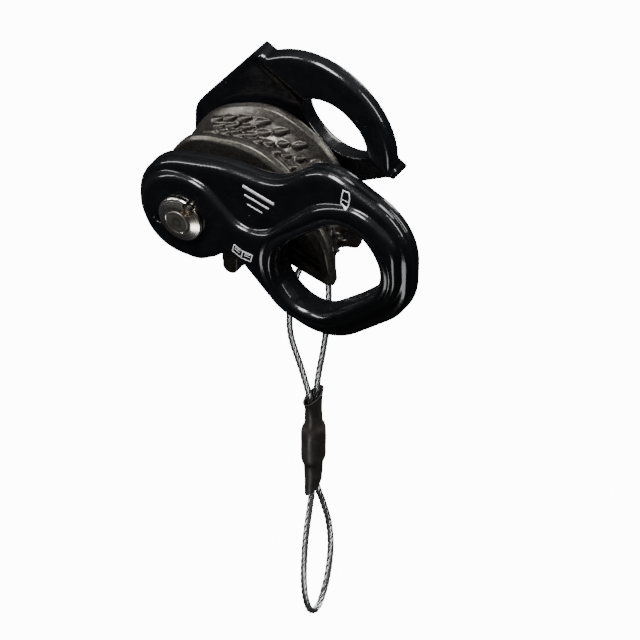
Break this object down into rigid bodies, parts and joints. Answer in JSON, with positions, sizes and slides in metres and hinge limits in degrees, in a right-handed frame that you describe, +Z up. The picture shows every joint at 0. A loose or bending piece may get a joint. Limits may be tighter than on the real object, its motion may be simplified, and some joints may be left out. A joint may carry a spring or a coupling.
{
  "type": "toothed cam rope clamp",
  "caption": "Compact rope clamp: forged front plate with a karabiner eye, swinging back shell, sprung toothed cam on one axle, and a wire release loop.",
  "frame": {"origin": "middle of the front plate's karabiner eye, halfway through the plate: the part hangs from a karabiner there", "axes": "+Y along the axle from the front plate to the back shell, +X from the axle towards the karabiner eye, +Z up, with the release loop hanging down"},
  "size_m": [0.0785, 0.0344, 0.1801],
  "materials": {
    "coated_alloy": "black satin-gloss hard coat with a fine sparkle",
    "cast_steel": "satin investment-cast stainless steel, brownish grey",
    "machined_steel": "dark turned steel",
    "nickelled_steel": "bright nickelled steel with turning marks",
    "spring_steel": "drawn spring wire",
    "bronze": "sintered bronze",
    "wire_rope": "galvanised stranded wire",
    "heat_shrink": "black-brown heat-shrink sleeve"
  },
  "bodies": {
    "frame": {"front_plate": "coated_alloy", "axle_pin": "machined_steel", "axle_collar": "nickelled_steel", "collar_pin": "nickelled_steel", "rear_collar": "nickelled_steel", "cam_stop_pin": "machined_steel", "front_thrust_washer": "bronze", "rear_thrust_washer": "bronze", "cam_spring": "spring_steel"},
    "shell": {"back_shell": "coated_alloy", "shell_bush": "bronze"},
    "cam_body": {"cam": "cast_steel", "cam_bush": "bronze"},
    "release": {"release_cable": "wire_rope", "crimp_ferrule": "nickelled_steel", "shrink_sleeve": "heat_shrink"}
  },
  "joints": [
    {"name": "shell_hinge", "type": "hinge", "parent": "frame", "child": "shell", "pos_m": [-0.042, 0.0235, -0.0017], "axis": [0, 1, 0], "range_deg": [-90, 37]},
    {"name": "cam_hinge", "type": "hinge", "parent": "frame", "child": "cam_body", "pos_m": [-0.042, 0.0126, -0.0017], "axis": [0, 1, 0], "range_deg": [0, 50], "stiffness_Nm_per_rad": 0.05, "springref_deg": -57.3},
    {"name": "release_swing", "type": "hinge", "parent": "cam_body", "child": "release", "pos_m": [-0.0148, 0.0134, -0.0119], "axis": [0, 1, 0], "range_deg": [-30, 30]}
  ]
}
